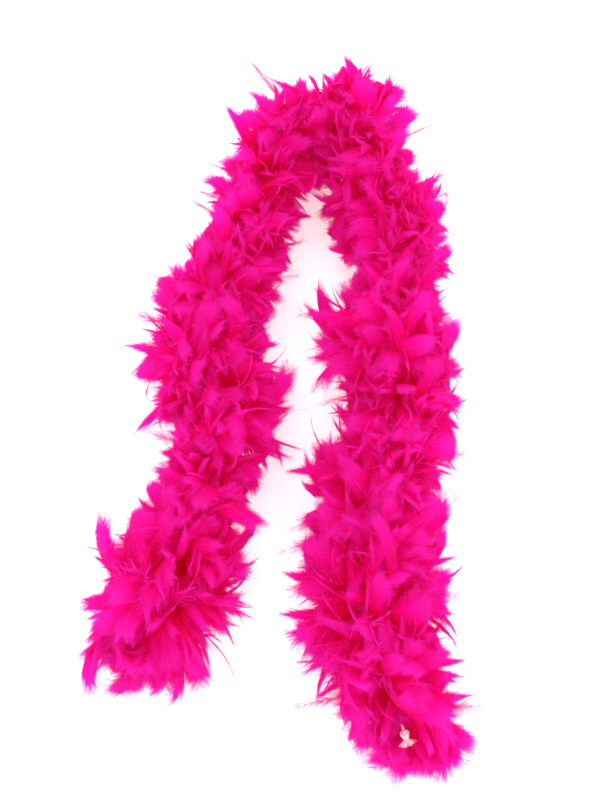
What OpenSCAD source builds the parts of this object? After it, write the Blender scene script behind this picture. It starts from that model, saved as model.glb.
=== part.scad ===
// Feather boa: dyed feathers bound in whorls along a twisted core cord, laid on a table in a
// hairpin. The limp cord flexes everywhere. Here it bends at twelve flex points between
// thirteen equal lengths, and every length carries its own cord, binding, quills and vanes.

/* [Boa] */
// Length of the feathered part, measured along the cord
boa_length = 1830; // [1560:5:2200]
// Height of the cord's middle above the table
cord_height = 62; // [52:1:75]
// Bare cord past the feathers at each end
tail_length = 46; // [38:1:60]

/* [Core cord] */
// Diameter of the twisted cord
cord_d = 4; // [3:0.1:5]
// Gap between two lengths of cord at a flex point
flex_gap = 2; // [1.6:0.1:3]
// Diameter of the overhand knot at each end
knot_d = 14; // [10:0.5:17]

/* [Binding thread] */
// Thickness of the wrapped thread
thread_t = 0.8; // [0.5:0.1:1.2]
// Width of the wrap round each whorl of quills
wrap_w = 8; // [5:0.5:12]
// Width of the whipping that ends the boa
whipping_w = 14; // [10:0.5:20]

/* [Feathers] */
// Distance from the cord to the tips of a full feather
reach = 92; // [78:1:98]
// Width of a vane
vane_w = 42; // [34:1:46]
// Width of a vane that lies pressed on the table
pressed_w = 24; // [18:1:28]
// Thickness of a vane, barbs and down together
vane_t = 1; // [0.8:0.1:1.4]
// Diameter of a quill
quill_d = 1.8; // [1.4:0.1:2.2]
// Distance from the cord at which a quill's bare part ends
quill_bare = 18; // [15:1:22]
// Twist of a vane about its own quill, in degrees
vane_pitch = 15; // [5:1:20]

/* [Hidden] */
$fn = 48;
BODIES = [
    "left_6", "left_5", "left_4", "left_3", "left_2", "left_1", "neck",
    "right_1", "right_2", "right_3", "right_4", "right_5", "right_6"
];
PIECES = ["core_cord", "binding_thread", "quills", "feathers"];
ENDS = ["left", "right"];
END_PIECES = ["end_whipping", "end_tuft", "end_knot"];

// the lie of the cord: heading at the left end, then how far each length turns, in degrees
start_heading = 66;
turns = [5, 24, -9, -12, 11, -67, -98, -6, -6, 0, -9, 13, 11];
// how full each length is, as a share of the reach
fullness = [0.98, 1, 1, 0.98, 0.86, 0.72, 0.86, 0.95, 1, 1, 1, 1, 1];

last = len(BODIES) - 1;
neck = 6;
seg_len = boa_length / len(BODIES);
whorl_spots = [seg_len / 4, seg_len * 3 / 4];
// angles of the open feathers round the cord, from its left side over the top
open_angles = [for (i = [0:4]) -8 + 49 * i];
wrap_clearance = 0.1;
wrap_r = cord_d / 2 + thread_t;
quill_root = cord_d / 2 + 0.3;
quill_grip = 4;             // how far a vane overlaps its quill
inner_share = 0.6;          // share of a bend's radius that the feathers inside it may fill
side_lean = 10;             // lean of a feather towards the middle of its own length
tuft_lean = 52;             // lean of the last feathers out past the end
pressed_root = 16;          // where a pressed feather's vane begins, from under the cord
pressed_share = 0.8;        // reach of a pressed feather, as a share of an open one's
under_len = 40;             // length of the feather pressed straight under the cord
tuft_spot = 9;              // distance of the end tuft from the end of the feathers
pressed_z = vane_t / 2 - cord_height;

// The route: each length of cord is an arc, or straight where it doesn't turn
function turn_sum(k) = k == 0 ? 0 : turns[k - 1] + turn_sum(k - 1);
function heading(k, s) = start_heading + turn_sum(k) + turns[k] * s / seg_len;
function bend_r(k) = seg_len / (turns[k] * PI / 180);
function turned(v, a) = [v.x * cos(a) - v.y * sin(a), v.x * sin(a) + v.y * cos(a)];
function along(k, s) = turns[k] == 0 ? [s, 0]
    : let (a = turns[k] * s / seg_len) [bend_r(k) * sin(a), bend_r(k) * (1 - cos(a))];
function start_of(k) = k == 0 ? [0, 0]
    : start_of(k - 1) + turned(along(k - 1, seg_len), heading(k - 1, 0));
function raw_point(k, s) = start_of(k) + turned(along(k, s), heading(k, 0));
// the origin is on the table under the middle of the neck
function point(k, s) = raw_point(k, s) - raw_point(neck, seg_len / 2);

// Puts its children on the cord: +X along it, +Y to its left, +Z up
module on_cord(k, s) {
    p = point(k, s);
    translate([p.x, p.y, cord_height]) rotate([0, 0, heading(k, s)]) children();
}

module cord_length(k, s0, s1) {
    if (turns[k] == 0)
        on_cord(k, s0) rotate([0, 90, 0]) cylinder(d = cord_d, h = s1 - s0);
    else {
        r = bend_r(k);
        swept = abs(turns[k]) * (s1 - s0) / seg_len;
        on_cord(k, r > 0 ? s0 : s1) translate([0, r, 0]) rotate([0, 0, r > 0 ? -90 : 90])
            rotate_extrude(angle = swept) translate([abs(r), 0]) circle(d = cord_d);
    }
}

module core_cord(k) {
    s0 = k == 0 ? -tail_length : flex_gap / 2;
    s1 = seg_len + (k == last ? tail_length : -flex_gap / 2);
    color("mistyrose") cord_length(k, s0, s1);
}

module thread_wrap(k, s, width) {
    on_cord(k, s) rotate([0, 90, 0]) difference() {
        cylinder(r = wrap_r, h = width, center = true);
        cylinder(d = cord_d + 2 * wrap_clearance, h = width + 2, center = true);
    }
}

module binding_thread(k) {
    color("crimson") for (s = whorl_spots) thread_wrap(k, s, wrap_w);
}

// A vane lies along +Y, widest past its middle, with a blunt ragged tip
module vane(from, to, width) {
    l = to - from;
    w = width / 2;
    linear_extrude(vane_t, center = true) polygon([
        [-1.5, from], [-0.75 * w, from + 0.3 * l], [-w, from + 0.62 * l], [-0.7 * w, from + 0.9 * l],
        [-0.3 * w, from + 0.94 * l], [0, to], [0.35 * w, from + 0.93 * l],
        [0.75 * w, from + 0.88 * l], [w, from + 0.6 * l], [0.75 * w, from + 0.3 * l], [1.5, from]
    ]);
}

module quill(from, to) {
    translate([0, from, 0]) rotate([-90, 0, 0]) cylinder(d = quill_d, h = to - from);
}

// Feathers inside a bend are shorter, because the bend leaves them less room
function inward(k, a) = sign(turns[k]) * cos(a);
function open_reach(k, a) = min(
    reach * fullness[k],
    inward(k, a) > 0.1 ? inner_share * abs(bend_r(k)) / inward(k, a) : reach
);
function lean_at(s) = s < seg_len / 2 ? -side_lean : side_lean;

module open_feather(a, lean) {
    rotate([a, 0, 0]) rotate([0, 0, lean]) rotate([0, 90 - vane_pitch, 0]) children();
}

// Pressed feathers leave the cord downwards and lie flat on the table, to either side
module pressed_side(side, lean) {
    mirror([0, side, 0]) translate([0, 0, pressed_z]) rotate([0, 0, lean]) children();
}

module pressed_quill(side, lean) {
    foot = [sin(-lean), cos(lean)] * (pressed_root + quill_grip);
    drop = -pressed_z - 0.1;
    mirror([0, side, 0]) rotate([0, 0, lean])
        rotate([-atan2(drop, norm(foot)), 0, 0]) quill(quill_root, norm([norm(foot), drop]));
}

module quills(k) {
    color("lightpink") {
        for (s = whorl_spots) on_cord(k, s) {
            for (a = open_angles) open_feather(a, lean_at(s)) quill(quill_root, quill_bare + quill_grip);
            for (side = [0, 1]) pressed_quill(side, lean_at(s));
        }
        on_cord(k, seg_len / 2 - under_len / 2 + quill_grip) rotate([-90, 0, 0])
            quill(cord_d / 2 - 0.2, -pressed_z - 0.1);
        if (k == 0 || k == last) facing_out(k, tuft_spot) {
            for (a = open_angles) open_feather(a, -tuft_lean)
                quill((quill_root + 0.5) / cos(tuft_lean), quill_bare + quill_grip);
            for (side = [0, 1]) pressed_quill(side, -tuft_lean);
        }
    }
}

module feathers(k) {
    color("deeppink") {
        for (s = whorl_spots) on_cord(k, s) {
            for (a = open_angles)
                open_feather(a, lean_at(s)) vane(quill_bare, open_reach(k, a), vane_w);
            for (side = [0, 1]) pressed_side(side, lean_at(s))
                vane(pressed_root, pressed_share * open_reach(k, 180 * side), pressed_w);
        }
        on_cord(k, seg_len / 2) translate([-under_len / 2, 0, pressed_z])
            rotate([0, 0, -90]) vane(0, under_len, pressed_w);
    }
}

// The ends: a whipping closes the binding, a tuft fans out over it, and the cord is knotted
module facing_out(k, d) {
    on_cord(k, k == 0 ? d : seg_len - d) rotate([0, 0, k == 0 ? 180 : 0]) children();
}

module end_whipping(k) {
    color("crimson") thread_wrap(k, k == 0 ? tuft_spot : seg_len - tuft_spot, whipping_w);
}

module end_tuft(k) {
    color("hotpink") facing_out(k, tuft_spot) {
        for (a = open_angles) open_feather(a, -tuft_lean) vane(quill_bare, reach, vane_w);
        for (side = [0, 1])
            pressed_side(side, -tuft_lean) vane(pressed_root, reach * pressed_share, pressed_w);
    }
}

module end_knot(k) {
    color("mistyrose") facing_out(k, -tail_length) sphere(d = knot_d);
}

for (k = [0:last]) {
    core_cord(k);
    binding_thread(k);
    quills(k);
    feathers(k);
}
for (i = [0, 1]) {
    end_whipping(i * last);
    end_tuft(i * last);
    end_knot(i * last);
}
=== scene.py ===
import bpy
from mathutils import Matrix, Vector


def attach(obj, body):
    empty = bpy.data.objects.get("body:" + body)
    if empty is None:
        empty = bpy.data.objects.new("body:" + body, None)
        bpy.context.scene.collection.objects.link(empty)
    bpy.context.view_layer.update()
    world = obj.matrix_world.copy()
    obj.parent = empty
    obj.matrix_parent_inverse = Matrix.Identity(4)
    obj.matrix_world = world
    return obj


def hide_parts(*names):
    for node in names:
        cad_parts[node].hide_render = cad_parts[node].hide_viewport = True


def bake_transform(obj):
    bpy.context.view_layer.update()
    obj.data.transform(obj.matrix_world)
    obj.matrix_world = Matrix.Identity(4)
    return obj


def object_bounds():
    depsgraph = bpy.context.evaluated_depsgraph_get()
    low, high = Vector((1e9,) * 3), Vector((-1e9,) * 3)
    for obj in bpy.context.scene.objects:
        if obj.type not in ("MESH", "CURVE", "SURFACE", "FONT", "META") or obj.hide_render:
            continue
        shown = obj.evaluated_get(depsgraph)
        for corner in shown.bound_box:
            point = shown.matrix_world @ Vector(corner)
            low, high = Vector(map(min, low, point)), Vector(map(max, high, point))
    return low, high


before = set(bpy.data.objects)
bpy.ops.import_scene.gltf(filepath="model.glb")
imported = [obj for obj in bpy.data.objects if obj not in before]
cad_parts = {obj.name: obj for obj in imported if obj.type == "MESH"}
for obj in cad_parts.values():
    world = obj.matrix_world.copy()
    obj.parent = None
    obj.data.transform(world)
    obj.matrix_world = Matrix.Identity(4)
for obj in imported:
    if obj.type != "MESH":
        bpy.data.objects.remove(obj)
cad_box = [list(corner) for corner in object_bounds()]

import math

import bmesh
import bpy
import numpy as np
from mathutils import Vector

# ---- Camera -----------------------------------------------------------------------------------
# A standing view down on the table, from the side where the boa's two ends lie.
camera_data = bpy.data.cameras.new("camera")
camera_data.lens = 50
camera_data.sensor_width = 36
camera = bpy.data.objects.new("camera", camera_data)
bpy.context.scene.collection.objects.link(camera)
camera_target = Vector((-0.0666, -0.4844, 0.065))
camera_height_angle = math.radians(66)
camera_distance = 1.572
camera.location = camera_target + camera_distance * Vector(
    (0, -math.cos(camera_height_angle), math.sin(camera_height_angle))
)
camera.rotation_euler = (camera_target - camera.location).to_track_quat("-Z", "Y").to_euler()
bpy.context.scene.camera = camera

# ---- Core cord --------------------------------------------------------------------------------
# A limp cotton cord of three twisted plies, undyed, that everything is bound to. It lies in
# thirteen equal lengths, each an arc that turns by so many degrees from the left end over the
# neck to the right end. Past the feathers each end is left bare, and is tied in a knot.
BODIES = (
    [f"left_{i}" for i in range(6, 0, -1)] + ["neck"] + [f"right_{i}" for i in range(1, 7)]
)
last = len(BODIES)
feathered_length = 1.83
cord_height = 0.062
tail_length = 0.046
cord_diameter = 0.004
ply_count = 3
ply_radius = 0.00105
ply_offset = 0.00095
ply_pitch = 0.013
ply_step = 0.0013
knot_size = 0.0016
knot_depth = 0.0021
knot_radius = 0.0019
hair_count = 80
hair_share = 0.24
# the heading and turns repeat the CAD's, which were rounded from arcs fitted to the route
start_heading = 66
turns = [5, 24, -9, -12, 11, -67, -98, -6, -6, 0, -9, 13, 11]
body_length = feathered_length / last


def arc_end(turn, distance):
    angle = math.radians(turn) * distance / body_length
    if abs(angle) < 1e-9:
        return distance + 0j
    radius = body_length / math.radians(turn)
    return radius * math.sin(angle) + 1j * radius * (1 - math.cos(angle))


def place_on_route(distance):
    """The point on the table plane, as a complex number, and the heading at that distance."""
    index = min(max(int(distance // body_length), 0), last - 1)
    here = distance - index * body_length
    heading = start_heading + sum(turns[:index])
    point = 0j
    for earlier in range(index):
        at = math.radians(start_heading + sum(turns[:earlier]))
        point += arc_end(turns[earlier], body_length) * complex(math.cos(at), math.sin(at))
    at = math.radians(heading)
    point += arc_end(turns[index], here) * complex(math.cos(at), math.sin(at))
    return point, heading + turns[index] * here / body_length


neck_middle = place_on_route(feathered_length / 2)[0]


def cord_frames(distances):
    """Points on the cord, and its direction, left side and up at each, as arrays."""
    places = [place_on_route(d) for d in distances]
    points = np.array([[(p - neck_middle).real, (p - neck_middle).imag, cord_height] for p, _ in places])
    angles = np.radians([h for _, h in places])
    ahead = np.stack([np.cos(angles), np.sin(angles), 0 * angles], 1)
    left = np.stack([-np.sin(angles), np.cos(angles), 0 * angles], 1)
    return points, ahead, left, np.tile([0.0, 0.0, 1.0], (len(angles), 1))


def span_of(k):
    """The cord under piece k: half an end length, or from one length's middle to the next one's."""
    return max(0.0, (k - 0.5) * body_length), min((k + 0.5) * body_length, feathered_length)


def name_of(k):
    if k == 0:
        return "left_end"
    return "right_end" if k == last else f"{BODIES[k - 1]}_to_{BODIES[k]}"


def fasten(piece, k):
    """Rides piece k on its end length, or else applies its transform and leaves it where it lies."""
    if k == 0:
        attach(piece, BODIES[0])
    elif k == last:
        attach(piece, BODIES[-1])
    else:
        ends = cord_frames(span_of(k))[0]
        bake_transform(piece)


def thick_lines(name, lines, radius, roundness, material):
    """One mesh of round strands, from lists of points or of points with a share of the radius."""
    curve = bpy.data.curves.new(name, "CURVE")
    curve.dimensions = "3D"
    curve.bevel_depth = radius
    curve.bevel_resolution = roundness
    curve.use_fill_caps = True
    for line in lines:
        line = np.asarray(line, float)
        if line.shape[1] == 3:
            line = np.concatenate([line, np.ones((len(line), 1))], 1)
        spline = curve.splines.new("POLY")
        spline.points.add(len(line) - 1)
        spline.points.foreach_set("co", np.insert(line[:, :3], 3, 1, 1).ravel())
        spline.points.foreach_set("radius", line[:, 3].copy())
    shape = bpy.data.objects.new(name + "_line", curve)
    mesh = bpy.data.meshes.new_from_object(shape)
    bpy.data.objects.remove(shape)
    bpy.data.curves.remove(curve)
    mesh.materials.clear()
    mesh.materials.append(material)
    mesh.polygons.foreach_set("use_smooth", np.ones(len(mesh.polygons), bool))
    mesh.name = name
    piece = bpy.data.objects.new(name, mesh)
    bpy.context.scene.collection.objects.link(piece)
    return piece


def plies(low, high):
    """The three plies of the cord between two distances along it."""
    distance = np.linspace(low, high, max(8, int((high - low) / ply_step)))
    point, _, left, up = cord_frames(distance)
    lines = []
    for ply in range(ply_count):
        turn = 2 * math.pi * (distance / ply_pitch + ply / ply_count)
        lines.append(point + ply_offset * (np.cos(turn)[:, None] * left + np.sin(turn)[:, None] * up))
    return lines


def fibre_material(name, light, dark, fibre_scale, roughness, fuzz):
    """Spun fibre: fine hairs along Object coordinates, uneven colour, and a soft fuzz."""
    material = bpy.data.materials.new(name)
    material.use_nodes = True
    nodes, links = material.node_tree.nodes, material.node_tree.links
    surface = nodes["Principled BSDF"]
    surface.inputs["Roughness"].default_value = roughness
    surface.inputs["Specular IOR Level"].default_value = 0.25
    surface.inputs["Sheen Weight"].default_value = fuzz
    place = nodes.new("ShaderNodeTexCoord")
    fibre = nodes.new("ShaderNodeTexNoise")
    fibre.inputs["Scale"].default_value = fibre_scale
    fibre.inputs["Detail"].default_value = 4
    fibre.inputs["Distortion"].default_value = 1.5
    tone = nodes.new("ShaderNodeValToRGB")
    tone.color_ramp.elements[0].position = 0.3
    tone.color_ramp.elements[0].color = (*dark, 1)
    tone.color_ramp.elements[1].position = 0.68
    tone.color_ramp.elements[1].color = (*light, 1)
    bump = nodes.new("ShaderNodeBump")
    bump.inputs["Strength"].default_value = 0.5
    bump.inputs["Distance"].default_value = 0.0002
    links.new(place.outputs["Object"], fibre.inputs["Vector"])
    links.new(fibre.outputs["Fac"], tone.inputs[0])
    links.new(fibre.outputs["Fac"], bump.inputs["Height"])
    links.new(tone.outputs[0], surface.inputs["Base Color"])
    links.new(bump.outputs[0], surface.inputs["Normal"])
    return material


cotton = fibre_material("cotton_cord", (0.93, 0.83, 0.85), (0.80, 0.52, 0.60), 1500, 0.9, 0.4)


def tail(side):
    """The bare cord past the feathers at one end, with its knot and its frayed tip."""
    body = BODIES[0] if side == "left" else BODIES[-1]
    start = 0.0 if side == "left" else feathered_length
    outwards = -1 if side == "left" else 1
    stations = start + outwards * np.linspace(0, tail_length, 24)
    bare = thick_lines(
        f"{side}_tail", plies(min(stations[0], stations[-1]), max(stations[0], stations[-1])),
        ply_radius, 2, cotton,
    )
    path = cord_frames(stations)[0]

    # an overhand knot pulled tight, and the plies let out past it
    point, ahead, left, up = (a[0] for a in cord_frames([start + outwards * tail_length]))
    ahead = ahead * outwards
    t = np.linspace(0, 2 * math.pi, 90)
    round_about = knot_size * (2 + np.cos(3 * t))
    loops = (
        point
        + (round_about * np.cos(2 * t))[:, None] * ahead
        + (round_about * np.sin(2 * t))[:, None] * left
        + (knot_depth * np.sin(3 * t))[:, None] * up
    )
    rng = np.random.default_rng(5 if side == "left" else 6)
    hairs = []
    for _ in range(hair_count):
        spread = rng.normal(0, 0.50, 2)
        length = rng.uniform(0.006, 0.011)
        s = np.linspace(0, 1, 7)[:, None]
        aim = ahead + spread[0] * left + spread[1] * 0.7 * up
        sag = -0.004 * s**2 * up + rng.normal(0, 0.0012) * s**2 * left
        line = point + 0.004 * ahead + s * length * aim + sag
        hairs.append(np.concatenate([line, hair_share * (1.1 - 0.6 * s)], 1))
    knot = thick_lines(f"{side}_knot", [np.insert(loops, 3, 1, 1)] + hairs, knot_radius, 1, cotton)
    for piece in (bare, knot):
        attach(piece, body)
    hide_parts(f"{body}_core_cord")
    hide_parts(f"{side}_end_knot")
    return point


knots = [tail("left"), tail("right")]

# inside the feathers the cord is stained with their dye
stained = fibre_material("stained_cord", (0.88, 0.06, 0.34), (0.74, 0.02, 0.20), 1500, 0.9, 0.4)
for k in range(last + 1):
    cord = thick_lines(f"cord_{name_of(k)}", plies(*span_of(k)), ply_radius, 1, stained)
    fasten(cord, k)
    if 0 < k < last - 1:
        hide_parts(f"{BODIES[k]}_core_cord")

# ---- Binding thread ---------------------------------------------------------------------------
# Dyed sewing thread. It is wound close over every whorl of quills, runs to the next whorl in a
# few long turns, and closes each end of the boa in a whipping.
thread_radius = 0.0004
wrap_width = 0.008
whipping_width = 0.014
whipping_spot = 0.009
thread_step = 0.00006
close_pitch = 0.0009
long_pitch = 0.016
turn_between_points = 0.55
whorl_spots = np.array([(i + share) * body_length for i in range(last) for share in (0.25, 0.75)])
thread_colour = fibre_material("binding_thread", (0.80, 0.012, 0.20), (0.50, 0.004, 0.09), 2600, 0.7, 0.2)


def wound(low, high, spots, width):
    """A thread wound along the cord: close turns at the spots, and long turns between them."""
    distance = np.arange(low, high, thread_step)
    close = np.abs(distance[:, None] - spots[None, :]).min(1) < width / 2
    turn = np.cumsum(np.where(close, 1 / close_pitch, 1 / long_pitch)) * thread_step * 2 * math.pi
    keep = np.concatenate([[True], np.diff(np.floor(turn / turn_between_points)) > 0])
    distance, turn = distance[keep], turn[keep]
    point, _, left, up = cord_frames(distance)
    return point + (cord_diameter / 2 + thread_radius) * (
        np.cos(turn)[:, None] * left + np.sin(turn)[:, None] * up
    )


for k in range(last + 1):
    low, high = span_of(k)
    thread = thick_lines(
        f"thread_{name_of(k)}", [wound(low, high, whorl_spots, wrap_width)], thread_radius, 0, thread_colour
    )
    fasten(thread, k)
    if k < last:
        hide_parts(f"{BODIES[k]}_binding_thread")
for side, spot, body in (
    ("left", whipping_spot, BODIES[0]), ("right", feathered_length - whipping_spot, BODIES[-1])
):
    half = whipping_width / 2
    turns_of_thread = wound(spot - half, spot + half, np.array([spot]), whipping_width)
    whipping = thick_lines(f"{side}_whipping", [turns_of_thread], thread_radius * 1.1, 1, thread_colour)
    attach(whipping, body)
    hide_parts(f"{side}_end_whipping")

# ---- Feather shapes ---------------------------------------------------------------------------
# Turkey feathers, each one cut from a flat pattern. A vane is soft, and its barbs part and thin
# out towards its edges and its blunt tip. Wisps are narrow, and down has loose barbs alone.
rim_looseness = 0.86
tip_begins = 0.72


def feather_pattern(seed, columns, rows, width_at, splits, split_reach, cup, loose=(0.0, 1.0)):
    """A flat feather one unit long and one wide: corners, loops, loop counts, UVs and looseness.

    Looseness runs from the first value at the shaft to the second at the rim.
    """
    rng = np.random.default_rng(seed)
    bm = bmesh.new()
    bmesh.ops.create_grid(bm, x_segments=columns, y_segments=rows, size=0.5)
    edge = bm.verts.layers.float.new("edge")
    for v in bm.verts:
        along = v.co.y + 0.5
        towards_tip = min(1, max(0, (along - tip_begins) / 0.3))
        v[edge] = max(2 * abs(v.co.x) * rim_looseness, towards_tip * rim_looseness)
        v.co.x *= width_at(along) * (1 + 0.10 * rng.standard_normal())
        v.co.y = along + 0.02 * rng.standard_normal() * (along > 0.1)
    rim = [e for e in bm.edges if e.is_boundary and max(v.co.y for v in e.verts) > 0.12]
    if splits > 1:
        bmesh.ops.subdivide_edges(bm, edges=rim, cuts=splits - 1)
        rim = [e for e in bm.edges if e.is_boundary and max(v.co.y for v in e.verts) > 0.12]
    for e in rim:
        a, b = (v.co.copy() for v in e.verts)
        middle = (a + b) / 2
        outward = math.copysign(1, middle.x) * (0.25 if min(a.y, b.y) > 0.9 else 1.0)
        reach = Vector((outward * 1.3, 0.62, 0)) * split_reach * (0.3 + 1.1 * rng.random())
        grown = bmesh.ops.extrude_edge_only(bm, edges=[e])["geom"]
        points = [g for g in grown if isinstance(g, bmesh.types.BMVert)]
        bmesh.ops.pointmerge(bm, verts=points, merge_co=middle + reach)
        points[0][edge] = 1.0
    bm.verts.index_update()
    corners = np.array([v.co[:] for v in bm.verts])
    edges = np.array([v[edge] for v in bm.verts])
    corners[:, 2] = cup * corners[:, 0] ** 2 + 0.02 * rng.standard_normal(len(corners)) * (edges > 0.4)
    edges = loose[0] + (loose[1] - loose[0]) * edges
    loops = np.array([v.index for f in bm.faces for v in f.verts])
    counts = np.array([len(f.verts) for f in bm.faces])
    bm.free()
    return corners, loops, counts, np.stack([corners[loops, 0] + 0.5, corners[loops, 1]], 1), edges


def broad_width(t):
    return 0.12 + 0.88 * math.sin(math.pi * min(t, 0.66) / 1.32) ** 0.9 - 0.9 * max(0, t - 0.66) ** 1.5


def slim_width(t):
    return 0.14 + 0.86 * math.sin(math.pi * min(1, 0.08 + t * 0.90)) ** 0.8


def wisp_width(t):
    return 0.18 + 0.82 * math.sin(math.pi * (0.12 + 0.84 * t)) * (1 - 0.45 * t)


def shaft_width(t):
    return 0.22 * (1 - 0.6 * t)


PATTERNS = {
    "broad": [feather_pattern(10 + i, 4, 6, broad_width, 1, 0.10, 0.45) for i in range(7)],
    "slim": [feather_pattern(30 + i, 2, 6, slim_width, 2, 0.13, 0.6) for i in range(6)],
    "wisp": [feather_pattern(50 + i, 2, 7, wisp_width, 1, 0.16, 0.5) for i in range(4)],
    "down": [feather_pattern(70 + i, 2, 6, shaft_width, 2, 0.30, 0.6, (0.0, 0.6)) for i in range(5)],
    "plume": [feather_pattern(90 + i, 4, 7, slim_width, 1, 0.12, 0.4, (0.64, 0.98)) for i in range(4)],
}


def quill_pattern():
    """A tapered three-sided quill, in the same units as a feather but a fixed thickness."""
    bm = bmesh.new()
    bmesh.ops.create_cone(bm, segments=3, radius1=0.5, radius2=0.14, depth=0.8, cap_ends=True)
    long_edges = [e for e in bm.edges if abs(e.verts[0].co.z - e.verts[1].co.z) > 0.5]
    bmesh.ops.subdivide_edges(bm, edges=long_edges, cuts=6)
    bm.verts.index_update()
    corners = np.array([(v.co.x, v.co.z + 0.4, v.co.y) for v in bm.verts])
    loops = np.array([v.index for f in bm.faces for v in reversed(f.verts)])
    counts = np.array([len(f.verts) for f in bm.faces])
    bm.free()
    return corners, loops, counts, np.stack([corners[loops, 0], corners[loops, 1]], 1), 0 * corners[:, 0]


QUILL = quill_pattern()


def bent(pattern, root, out, bend, length, width, curl, roll, sway):
    """Copies of one pattern, one for each row of the arrays, bent towards bend as they leave root."""
    corners = pattern[0]
    # the bend is worked out in steps to past the tip, where the longest barbs end
    steps = 36
    t = np.linspace(0, 1.3, steps + 1)
    angle = curl[:, None] * t[None, :] ** 1.5
    ahead = np.concatenate([0 * angle[:, :1], np.cumsum(np.cos(angle[:, 1:]), 1)], 1) * t[1]
    over = np.concatenate([0 * angle[:, :1], np.cumsum(np.sin(angle[:, 1:]), 1)], 1) * t[1]
    y = np.clip(corners[:, 1], 0, 1.29) / t[1]
    low, part = y.astype(int), y - y.astype(int)

    def between(values):
        return (values[:, low] * (1 - part) + values[:, low + 1] * part)[:, :, None]

    ahead, over, angle = between(ahead), between(over), between(angle)
    out, bend = out[:, None, :], bend[:, None, :]
    across = np.cross(out, bend)
    face = -np.sin(angle) * out + np.cos(angle) * bend
    turn = roll[:, None, None] * corners[None, :, 1:2]
    side = np.cos(turn) * across + np.sin(turn) * face
    normal = -np.sin(turn) * across + np.cos(turn) * face
    shape = corners[None, :, :] * width[:, None, None]
    aside = sway[:, None, None] * corners[None, :, 1:2] ** 2
    return (
        root[:, None, :]
        + length[:, None, None] * (ahead * out + over * bend + aside * across)
        + shape[:, :, 0:1] * side
        + shape[:, :, 2:3] * normal
    )


def joined(name, groups, material):
    """One mesh object from (points, pattern, dye) groups of bent feathers."""
    points, loops, counts, uvs, dyes, edges, first = [], [], [], [], [], [], 0
    for placed, pattern, dye in groups:
        n, per = placed.shape[:2]
        points.append(placed.reshape(-1, 3))
        loops.append((pattern[1][None, :] + first + per * np.arange(n)[:, None]).ravel())
        counts.append(np.tile(pattern[2], n))
        uvs.append(np.tile(pattern[3], (n, 1)))
        dyes.append(np.repeat(dye, per))
        edges.append(np.tile(pattern[4], n))
        first += n * per
    points, loops, counts = np.concatenate(points), np.concatenate(loops), np.concatenate(counts)
    mesh = bpy.data.meshes.new(name)
    mesh.vertices.add(len(points))
    mesh.vertices.foreach_set("co", points.astype(np.float32).ravel())
    mesh.loops.add(len(loops))
    mesh.loops.foreach_set("vertex_index", loops.astype(np.int32))
    mesh.polygons.add(len(counts))
    mesh.polygons.foreach_set("loop_start", (np.cumsum(counts) - counts).astype(np.int32))
    mesh.update(calc_edges=True)
    mesh.validate()
    uv = mesh.uv_layers.new(name="feather")
    uv.data.foreach_set("uv", np.concatenate(uvs).astype(np.float32).ravel())
    for label, values in (("dye", dyes), ("edge", edges)):
        attribute = mesh.attributes.new(label, "FLOAT", "POINT")
        attribute.data.foreach_set("value", np.concatenate(values).astype(np.float32))
    mesh.polygons.foreach_set("use_smooth", np.ones(len(counts), bool))
    mesh.materials.append(material)
    piece = bpy.data.objects.new(name, mesh)
    bpy.context.scene.collection.objects.link(piece)
    return piece


# ---- Dye --------------------------------------------------------------------------------------
# Feathers dyed hot pink. Light passes through the thin vanes, and the barbs lie in fine slanting
# strands that part at the edges. The colour differs on every feather. Painted shade makes it deep
# red towards the root, for the hollows among the feathers, and a painted highlight makes it paler towards
# the tip.
strand_slant = 0.55
see_through = 0.6
cool_share = 0.22
glow_strength = 0.062
most_layers = 5.5


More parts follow.
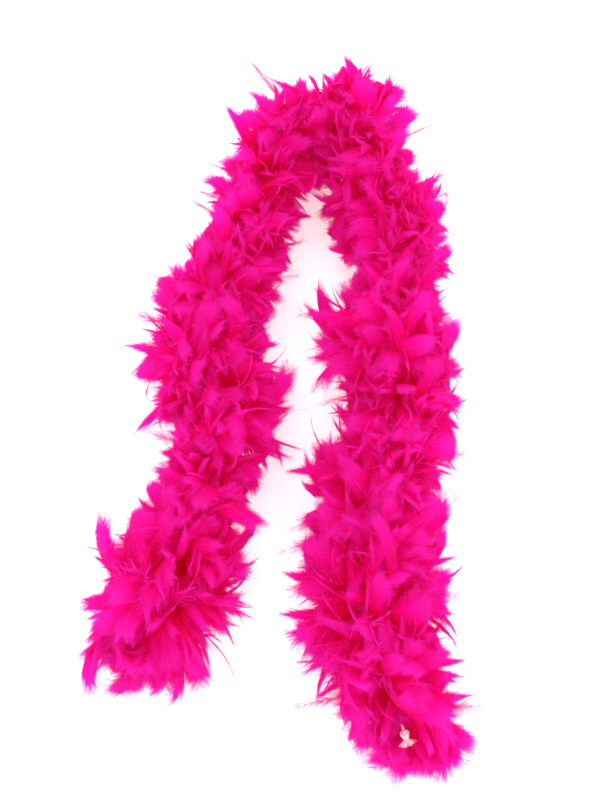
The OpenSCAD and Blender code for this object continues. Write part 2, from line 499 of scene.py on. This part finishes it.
def dyed_feather():
    material = bpy.data.materials.new("dyed_feather")
    material.use_nodes = True
    nodes, links = material.node_tree.nodes, material.node_tree.links
    nodes.clear()

    def node(kind, **settings):
        made = nodes.new(kind)
        for key, value in settings.items():
            setattr(made, key, value)
        return made

    def math_node(operation, *values, clamp=False):
        made = node("ShaderNodeMath", operation=operation, use_clamp=clamp)
        for socket, value in zip(made.inputs, values):
            if isinstance(value, (int, float)):
                socket.default_value = value
            else:
                links.new(value, socket)
        return made.outputs[0]

    def strands(per_feather, across_scale):
        """Noise drawn out along the barbs, stretched to run from 0 to 1, and new on each feather."""
        noise = node("ShaderNodeTexNoise")
        noise.inputs["Scale"].default_value = 1
        noise.inputs["Detail"].default_value = 1
        spot = node("ShaderNodeCombineXYZ")
        links.new(math_node("MULTIPLY", slant, per_feather), spot.inputs[0])
        links.new(math_node("MULTIPLY", across, across_scale), spot.inputs[1])
        links.new(math_node("MULTIPLY", dye, 97), spot.inputs[2])
        links.new(spot.outputs[0], noise.inputs["Vector"])
        return math_node("MULTIPLY_ADD", noise.outputs["Fac"], 2.6, -0.8, clamp=True)

    uv = node("ShaderNodeUVMap", uv_map="feather")
    split = node("ShaderNodeSeparateXYZ")
    links.new(uv.outputs[0], split.inputs[0])
    across = math_node("ABSOLUTE", math_node("SUBTRACT", split.outputs[0], 0.5))
    along = split.outputs[1]
    dye = node("ShaderNodeAttribute", attribute_name="dye").outputs["Fac"]
    edge = node("ShaderNodeAttribute", attribute_name="edge").outputs["Fac"]
    slant = math_node("SUBTRACT", along, math_node("MULTIPLY", across, strand_slant))
    coarse = strands(26, 3)
    fine = strands(120, 5)

    # painted shade: deep red near the root, where the feathers lie in shade, and paler pink towards the tip
    # as a painted highlight
    shade_ramp = node("ShaderNodeValToRGB")
    shade_and_highlight_tones = shade_ramp.color_ramp.elements
    shade_and_highlight_tones[0].position = 0.08
    shade_and_highlight_tones[0].color = (0.92, 0.0010, 0.060, 1)
    shade_and_highlight_tones[1].position = 0.98
    shade_and_highlight_tones[1].color = (0.86, 0.022, 0.53, 1)
    for position, tone in ((0.42, (0.90, 0.0004, 0.16, 1)), (0.72, (0.87, 0.0035, 0.36, 1))):
        shade_and_highlight_tones.new(position).color = tone
    links.new(along, shade_ramp.inputs[0])
    cool = node("ShaderNodeMix", data_type="RGBA")
    cool.inputs["B"].default_value = (0.80, 0.010, 0.42, 1)
    links.new(shade_ramp.outputs[0], cool.inputs["A"])
    links.new(math_node("MULTIPLY", dye, cool_share), cool.inputs["Factor"])
    uneven = math_node("ADD", math_node("MULTIPLY", coarse, 0.08), math_node("MULTIPLY", fine, 0.07))
    grey = node("ShaderNodeCombineColor")
    for socket in grey.inputs:
        links.new(math_node("ADD", uneven, 0.87), socket)
    tinted = node("ShaderNodeMix", data_type="RGBA", blend_type="MULTIPLY")
    tinted.inputs["Factor"].default_value = 1
    links.new(cool.outputs["Result"], tinted.inputs["A"])
    links.new(grey.outputs[0], tinted.inputs["B"])

    bump = node("ShaderNodeBump")
    bump.inputs["Strength"].default_value = 0.3
    bump.inputs["Distance"].default_value = 0.0006
    links.new(math_node("ADD", coarse, fine), bump.inputs["Height"])

    surface = node("ShaderNodeBsdfPrincipled")
    surface.inputs["Roughness"].default_value = 0.8
    surface.inputs["Specular IOR Level"].default_value = 0.04
    surface.inputs["Sheen Weight"].default_value = 0.03
    surface.inputs["Sheen Roughness"].default_value = 0.5
    surface.inputs["Sheen Tint"].default_value = (1, 0.35, 0.75, 1)
    # a faint red glow stands in for light passed on from feather to feather in the hollows
    glow = node("ShaderNodeEmission")
    glow.inputs["Color"].default_value = (1, 0, 0.02, 1)
    glow.inputs["Strength"].default_value = glow_strength
    through = node("ShaderNodeBsdfTranslucent")
    vane = node("ShaderNodeMixShader")
    vane.inputs[0].default_value = see_through
    links.new(tinted.outputs["Result"], surface.inputs["Base Color"])
    links.new(tinted.outputs["Result"], through.inputs["Color"])
    links.new(bump.outputs[0], surface.inputs["Normal"])
    links.new(surface.outputs[0], vane.inputs[1])
    links.new(through.outputs[0], vane.inputs[2])
    glowing = node("ShaderNodeAddShader")
    links.new(vane.outputs[0], glowing.inputs[0])
    links.new(glow.outputs[0], glowing.inputs[1])

    # the strands part towards the rim of the vane, and are gone at its very edge
    outer = math_node("MULTIPLY_ADD", edge, 1.3, -0.3, clamp=True)
    loose = math_node("ADD", math_node("MULTIPLY", coarse, 0.34), math_node("MULTIPLY", fine, 0.56))
    loose = math_node("MULTIPLY", outer, math_node("ADD", loose, 0.70))
    cover = math_node("MULTIPLY", math_node("SUBTRACT", 1, loose), 2.1, clamp=True)
    # behind six see-through edges the next one looks solid
    depth = node("ShaderNodeLightPath").outputs["Transparent Depth"]
    cover = math_node("MAXIMUM", cover, math_node("GREATER_THAN", depth, most_layers))
    gap = node("ShaderNodeBsdfTransparent")
    fringe = node("ShaderNodeMixShader")
    output = node("ShaderNodeOutputMaterial")
    links.new(cover, fringe.inputs[0])
    links.new(gap.outputs[0], fringe.inputs[1])
    links.new(glowing.outputs[0], fringe.inputs[2])
    links.new(fringe.outputs[0], output.inputs["Surface"])
    return material


dyed = dyed_feather()
quill_horn = fibre_material("dyed_quill", (0.90, 0.020, 0.30), (0.80, 0.004, 0.14), 500, 0.5, 0.0)

# ---- Feathers ---------------------------------------------------------------------------------
# Every whorl holds broad feathers and slimmer ones that lean both ways, with down at their
# roots. The boa is fuller in some places than in others, on its outer and on its inner side,
# and the lowest feathers are pressed flat on the table by its own weight.
usual_reach = 0.088
quill_thickness = 0.0013
root_offset = 0.0025
tip_share = 0.8
cool_stretch = 0.65
table_gap = 0.0012
clear_of_knot = 0.013
plume_widening = 1.3
height_weight, side_weight = 0.32, 0.68
# shares of the usual reach, listed at even steps from the left end to the right end
outer_fullness = [
    1.50, 0.90, 0.78, 0.80, 0.42, 1.26, 1.04, 0.98, 0.46, 0.46, 0.34, -0.40, 0.10, 1.30,
    0.36, 0.62, 1.20, 0.94, 0.82, 1.12, 1.18, 1.02, 0.82, 0.96, 1.30, 0.84, 0.94,
]
inner_fullness = [
    1.46, 1.10, 0.72, 0.70, 1.44, 1.10, 0.80, 0.90, 0.90, 0.98, 1.10, 0.9, 0.9, 0.9,
    1.00, 1.16, 0.92, 0.40, 0.92, 1.60, 0.80, 0.90, 1.30, 1.00, 1.26, 1.20, 0.88,
]
least_fullness = 0.06
proud = 0.009
box_low = np.array([a - 0.03 * (b - a) - proud for a, b in zip(*cad_box)])
box_high = np.array([b + 0.03 * (b - a) + proud for a, b in zip(*cad_box)])


def reach_at(distance, around):
    """How far the feathers reach at a distance along the cord and an angle round it."""
    spots = np.linspace(0, feathered_length, len(outer_fullness))
    sideways = np.cos(around)
    share = np.where(
        sideways > 0, np.interp(distance, spots, outer_fullness), np.interp(distance, spots, inner_fullness)
    )
    # a full stretch is also a little higher than the rest
    weight = height_weight + side_weight * np.abs(sideways)
    return usual_reach * (1 + (np.maximum(share, least_fullness) - 1) * weight)


def settled(points, cord_point):
    """Keeps feathers on the table: what would go lower lies flat, pushed out to the side."""
    soft_height = 0.016
    low = np.clip(soft_height - points[..., 2], 0, None)
    away = points[..., :2] - cord_point[:, None, :2]
    far = np.linalg.norm(away, axis=-1, keepdims=True) + 1e-4
    points[..., :2] += away / far * np.minimum(low, 0.05)[..., None] * 0.35
    flat = table_gap + (soft_height - table_gap) * np.exp(-low / soft_height)
    points[..., 2] = np.where(low > 0, flat, points[..., 2])
    return points


def in_the_way(placed):
    """Feathers that would leave the boa's room, or cover the right-hand knot from above."""
    outside = ((placed < box_low) | (placed > box_high)).any(axis=(1, 2))
    beside = np.linalg.norm(placed[..., :2] - knots[1][None, None, :2] - (0.0, -0.008), axis=-1)
    over_knot = ((beside < clear_of_knot) & (placed[..., 2] > cord_height - 0.004)).any(axis=1)
    return outside | over_knot


def set_feathers(kind, distance, around, tilt, bend_spin, length, width, curl, roll, sway, dye, rng):
    """Groups of bent feathers of one kind and groups of their quills, for joined()."""
    point, ahead, left, up = cord_frames(distance)
    radial = np.cos(around)[:, None] * left + np.sin(around)[:, None] * up
    out = np.cos(tilt)[:, None] * radial + np.sin(tilt)[:, None] * ahead
    other = np.cross(out, ahead)
    other /= np.linalg.norm(other, axis=1, keepdims=True) + 1e-6
    third = np.cross(out, other)
    bend = np.cos(bend_spin)[:, None] * other + np.sin(bend_spin)[:, None] * third
    root = point + radial * root_offset
    which = rng.integers(0, len(PATTERNS[kind]), len(distance))
    vanes, quills = [], []
    for i, pattern in enumerate(PATTERNS[kind]):
        pick = np.flatnonzero(which == i)
        if not len(pick):
            continue
        shape = (root[pick], out[pick], bend[pick], length[pick])
        bends = (curl[pick], roll[pick], sway[pick])
        placed = settled(bent(pattern, *shape, width[pick], *bends), point[pick])
        stays = ~in_the_way(placed)
        vanes.append((placed[stays], pattern, dye[pick][stays]))
        if kind != "down":
            thick = np.full(len(pick), quill_thickness)
            shafts = settled(bent(QUILL, *shape, thick, *bends), point[pick])
            quills.append((shafts[stays], QUILL, dye[pick][stays]))
    return vanes, quills


def whorls(kind, k, per_metre, rng, reach, widths, curls, lean, facing):
    """Feathers of one kind all along piece k's stretch of cord."""
    low, high = span_of(k)
    n = int(round(per_metre * (high - low)))
    distance = low + (high - low) * (np.arange(n) + rng.random(n)) / n
    around = rng.random(n) * 2 * math.pi
    # neighbours share a lean, which parts the feathers into clumps
    clump = np.sin(distance * 78 + 2.1 * np.cos(around * 2 + distance * 33))
    tilt = lean * (0.7 * clump + 0.65 * rng.standard_normal(n))
    curl = np.radians(curls[0] + (curls[1] - curls[0]) * rng.random(n))
    # a leaning feather is no longer than its place allows, at its root and at its tip
    tip_distance = distance + tip_share * usual_reach * np.sin(tilt)
    room = np.minimum(reach_at(distance, around), reach_at(tip_distance, around))
    length = reach * room * (0.80 + 0.30 * rng.random(n)) / np.cos(curl * 0.42)
    width = widths[0] + (widths[1] - widths[0]) * rng.random(n)
    # the outer side of the left leg is dyed a little cooler
    cool_side = np.clip(np.cos(around), 0, 1) * (distance < cool_stretch)
    dye = np.clip(0.55 * rng.random(n) + 0.45 * cool_side, 0, 1)
    # a feather curls over the way it leans, with its broad face outwards
    spin = -np.sign(tilt) * math.pi / 2 + facing * rng.standard_normal(n)
    roll = 0.6 * rng.standard_normal(n)
    sway = 0.16 * rng.standard_normal(n)
    return set_feathers(kind, distance, around, tilt, spin, length, width, curl, roll, sway, dye, rng)


def tuft(side, n, rng, reach, widths, curls):
    """The last feathers at one end, which fan out past the end of the binding."""
    outwards = -1 if side == "left" else 1
    start = whipping_spot if side == "left" else feathered_length - whipping_spot
    distance = start + outwards * -0.006 * rng.random(n)
    around = rng.random(n) * 2 * math.pi
    tilt = outwards * np.radians(20 + 66 * rng.random(n) ** 0.8)
    curl = np.radians(curls[0] + (curls[1] - curls[0]) * rng.random(n))
    length = reach * (0.80 + 0.28 * rng.random(n)) / np.cos(curl * 0.42)
    if side == "left":
        length *= 0.84 + (0.34 - 0.06 * np.cos(around)) * np.abs(np.cos(around)) * np.cos(tilt) ** 0.6
    else:
        length *= 0.95 + 0.24 * np.cos(around)
    width = widths[0] + (widths[1] - widths[0]) * rng.random(n)
    dye = 0.6 * rng.random(n) + 0.3 * (side == "left")
    # above the cord they stop short of the knot that shows at the right-hand end
    if side == "right":
        length *= np.where((np.sin(around) > 0.70) & (np.abs(tilt) > 0.75), 0.45, 1.0)
    spin = -np.sign(tilt) * math.pi / 2 + 0.9 * rng.standard_normal(n)
    roll = 0.6 * rng.standard_normal(n)
    sway = 0.16 * rng.standard_normal(n)
    return set_feathers(
        "broad", distance, around, tilt, spin, length, width, curl, roll, sway, dye, rng
    )


# Longer feathers that stand out of the outline: distance along the cord, angle round it from
# its outer side in degrees, reach, lean along the cord in degrees, curl in degrees, and width
PLUMES = [
    (0.010, 12, 0.128, -18, 25, 0.030), (0.050, 8, 0.122, -20, 30, 0.024),
    (0.075, 14, 0.118, -4, 44, 0.022), (0.235, 10, 0.105, 4, 25, 0.016),
    (0.335, 12, 0.118, 0, 20, 0.018), (0.400, 10, 0.142, -6, 18, 0.022),
    (0.415, 16, 0.138, 4, 30, 0.024), (0.470, 14, 0.116, 10, 24, 0.020),
    (0.600, 18, 0.098, 14, 35, 0.012), (0.690, 22, 0.092, 6, 30, 0.012),
    (0.640, 12, 0.088, 0, 40, 0.012), (0.828, 30, 0.136, -12, 20, 0.016),
    (0.846, 38, 0.146, -4, 24, 0.022), (0.884, 32, 0.150, -8, 14, 0.018),
    (0.905, 42, 0.116, 0, 25, 0.016), (0.950, 34, 0.112, 6, 35, 0.018),
    (0.975, 24, 0.118, 16, 8, 0.009), (1.000, 20, 0.104, 30, 55, 0.012),
    (1.090, 26, 0.116, -8, 10, 0.012), (1.100, 30, 0.112, 4, 20, 0.014),
    (1.180, 34, 0.130, -6, 18, 0.016), (1.325, 30, 0.132, -10, 12, 0.030),
    (1.440, 28, 0.130, 4, 14, 0.014), (1.520, 26, 0.118, 0, 40, 0.014),
    (1.560, 20, 0.112, 6, 14, 0.010), (1.610, 26, 0.112, 2, 25, 0.016),
    (1.725, 26, 0.122, 6, 22, 0.018), (0.625, 165, 0.100, -12, 70, 0.016),
    (0.500, 164, 0.108, 6, 18, 0.018), (0.330, 168, 0.112, 8, 25, 0.018),
    (0.290, 166, 0.118, 0, 16, 0.018), (0.120, 164, 0.102, -20, 60, 0.020),
    (0.020, 164, 0.106, -28, 16, 0.016), (1.075, 160, 0.104, -12, 25, 0.014),
    (1.345, 162, 0.112, 6, 45, 0.026), (1.370, 166, 0.122, 12, 40, 0.022),
    (1.395, 164, 0.120, 16, 12, 0.012), (1.560, 166, 0.112, -14, 20, 0.016),
    (1.620, 162, 0.142, 4, 16, 0.020), (1.600, 168, 0.118, 0, 24, 0.016),
    (1.700, 164, 0.128, 18, 60, 0.022), (1.740, 166, 0.116, 10, 20, 0.018),
    (1.815, 164, 0.134, 4, 20, 0.024), (1.825, 20, 0.128, 34, 24, 0.028),
    (1.828, 14, 0.120, 52, 20, 0.024),
]


def plumes(k, rng):
    """The listed plumes whose roots lie on piece k's stretch of cord."""
    low, high = span_of(k)
    rows = np.array([row for row in PLUMES if low <= row[0] < high or (k == last and row[0] >= low)])
    if not len(rows):
        return [], []
    distance, around, length, tilt, curl, width = rows.T
    around, tilt, curl = np.radians(around), np.radians(tilt), np.radians(curl)
    n = len(rows)
    # a plume shows its broad side from above, and sways to one side
    spin = math.pi * (rng.random(n) < 0.5) + 0.4 * rng.standard_normal(n)
    roll = 0.4 * rng.standard_normal(n)
    sway = 0.15 * np.sign(rng.random(n) - 0.5) * (0.5 + rng.random(n))
    return set_feathers(
        "plume", distance, around, tilt, spin, length, width * plume_widening, curl, roll, sway,
        rng.random(n), rng,
    )


for k in range(last + 1):
    rng = np.random.default_rng(1000 + k)
    sets = [
        whorls("down", k, 600, rng, 0.66, (0.040, 0.060), (20, 90), 0.5, 3.0),
        whorls("broad", k, 760, rng, 1.00, (0.028, 0.046), (35, 115), 0.48, 0.9),
        whorls("slim", k, 900, rng, 1.05, (0.014, 0.028), (20, 95), 0.60, 1.3),
        whorls("wisp", k, 420, rng, 1.10, (0.008, 0.016), (5, 90), 0.60, 3.0),
        plumes(k, rng),
    ]
    if k in (0, last):
        side = "left" if k == 0 else "right"
        sets.append(tuft(side, 90, rng, 0.104, (0.034, 0.048), (20, 85)))
        sets.append(tuft(side, 44, rng, 0.104, (0.014, 0.026), (10, 60)))
    vanes = joined(f"feathers_{name_of(k)}", sum((s[0] for s in sets), []), dyed)
    shafts = joined(f"quills_{name_of(k)}", sum((s[1] for s in sets), []), quill_horn)
    for piece, slot in ((vanes, "feather"), (shafts, "quill")):
        fasten(piece, k)
    if k < last:
        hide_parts(f"{BODIES[k]}_feathers")
        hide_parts(f"{BODIES[k]}_quills")
    if k in (0, last):
        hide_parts(f"{side}_end_tuft")

# ---- Table and light --------------------------------------------------------------------------
# A plain white table under soft, even studio light from above. The table glows a little, so
# that the shadows on it stay pale.
bm = bmesh.new()
bmesh.ops.create_grid(bm, x_segments=1, y_segments=1, size=4)
table_mesh = bpy.data.meshes.new("table")
bm.to_mesh(table_mesh)
bm.free()
table = bpy.data.objects.new("table", table_mesh)
bpy.context.scene.collection.objects.link(table)
white = bpy.data.materials.new("white_table")
white.use_nodes = True
white_surface = white.node_tree.nodes["Principled BSDF"]
white_surface.inputs["Base Color"].default_value = (0.76, 0.76, 0.76, 1)
white_surface.inputs["Roughness"].default_value = 0.9
white_surface.inputs["Specular IOR Level"].default_value = 0.1
white_surface.inputs["Emission Color"].default_value = (1, 1, 1, 1)
white_surface.inputs["Emission Strength"].default_value = 0.50
table_mesh.materials.append(white)

world = bpy.data.worlds.new("studio")
bpy.context.scene.world = world
world.use_nodes = True
world.node_tree.nodes["Background"].inputs[0].default_value = (1, 1, 1, 1)
world.node_tree.nodes["Background"].inputs[1].default_value = 1.43
for name, place, power, size in (
    ("key", (-0.9, 0.5, 2.2), 15, 1.4),
    ("fill", (1.2, -1.4, 2.0), 11, 1.8),
):
    lamp_data = bpy.data.lights.new(name, "AREA")
    lamp_data.energy = power
    lamp_data.size = size
    lamp = bpy.data.objects.new(name, lamp_data)
    lamp.location = place
    lamp.rotation_euler = (camera_target - Vector(place)).to_track_quat("-Z", "Y").to_euler()
    bpy.context.scene.collection.objects.link(lamp)
bpy.context.scene.view_settings.view_transform = "Standard"
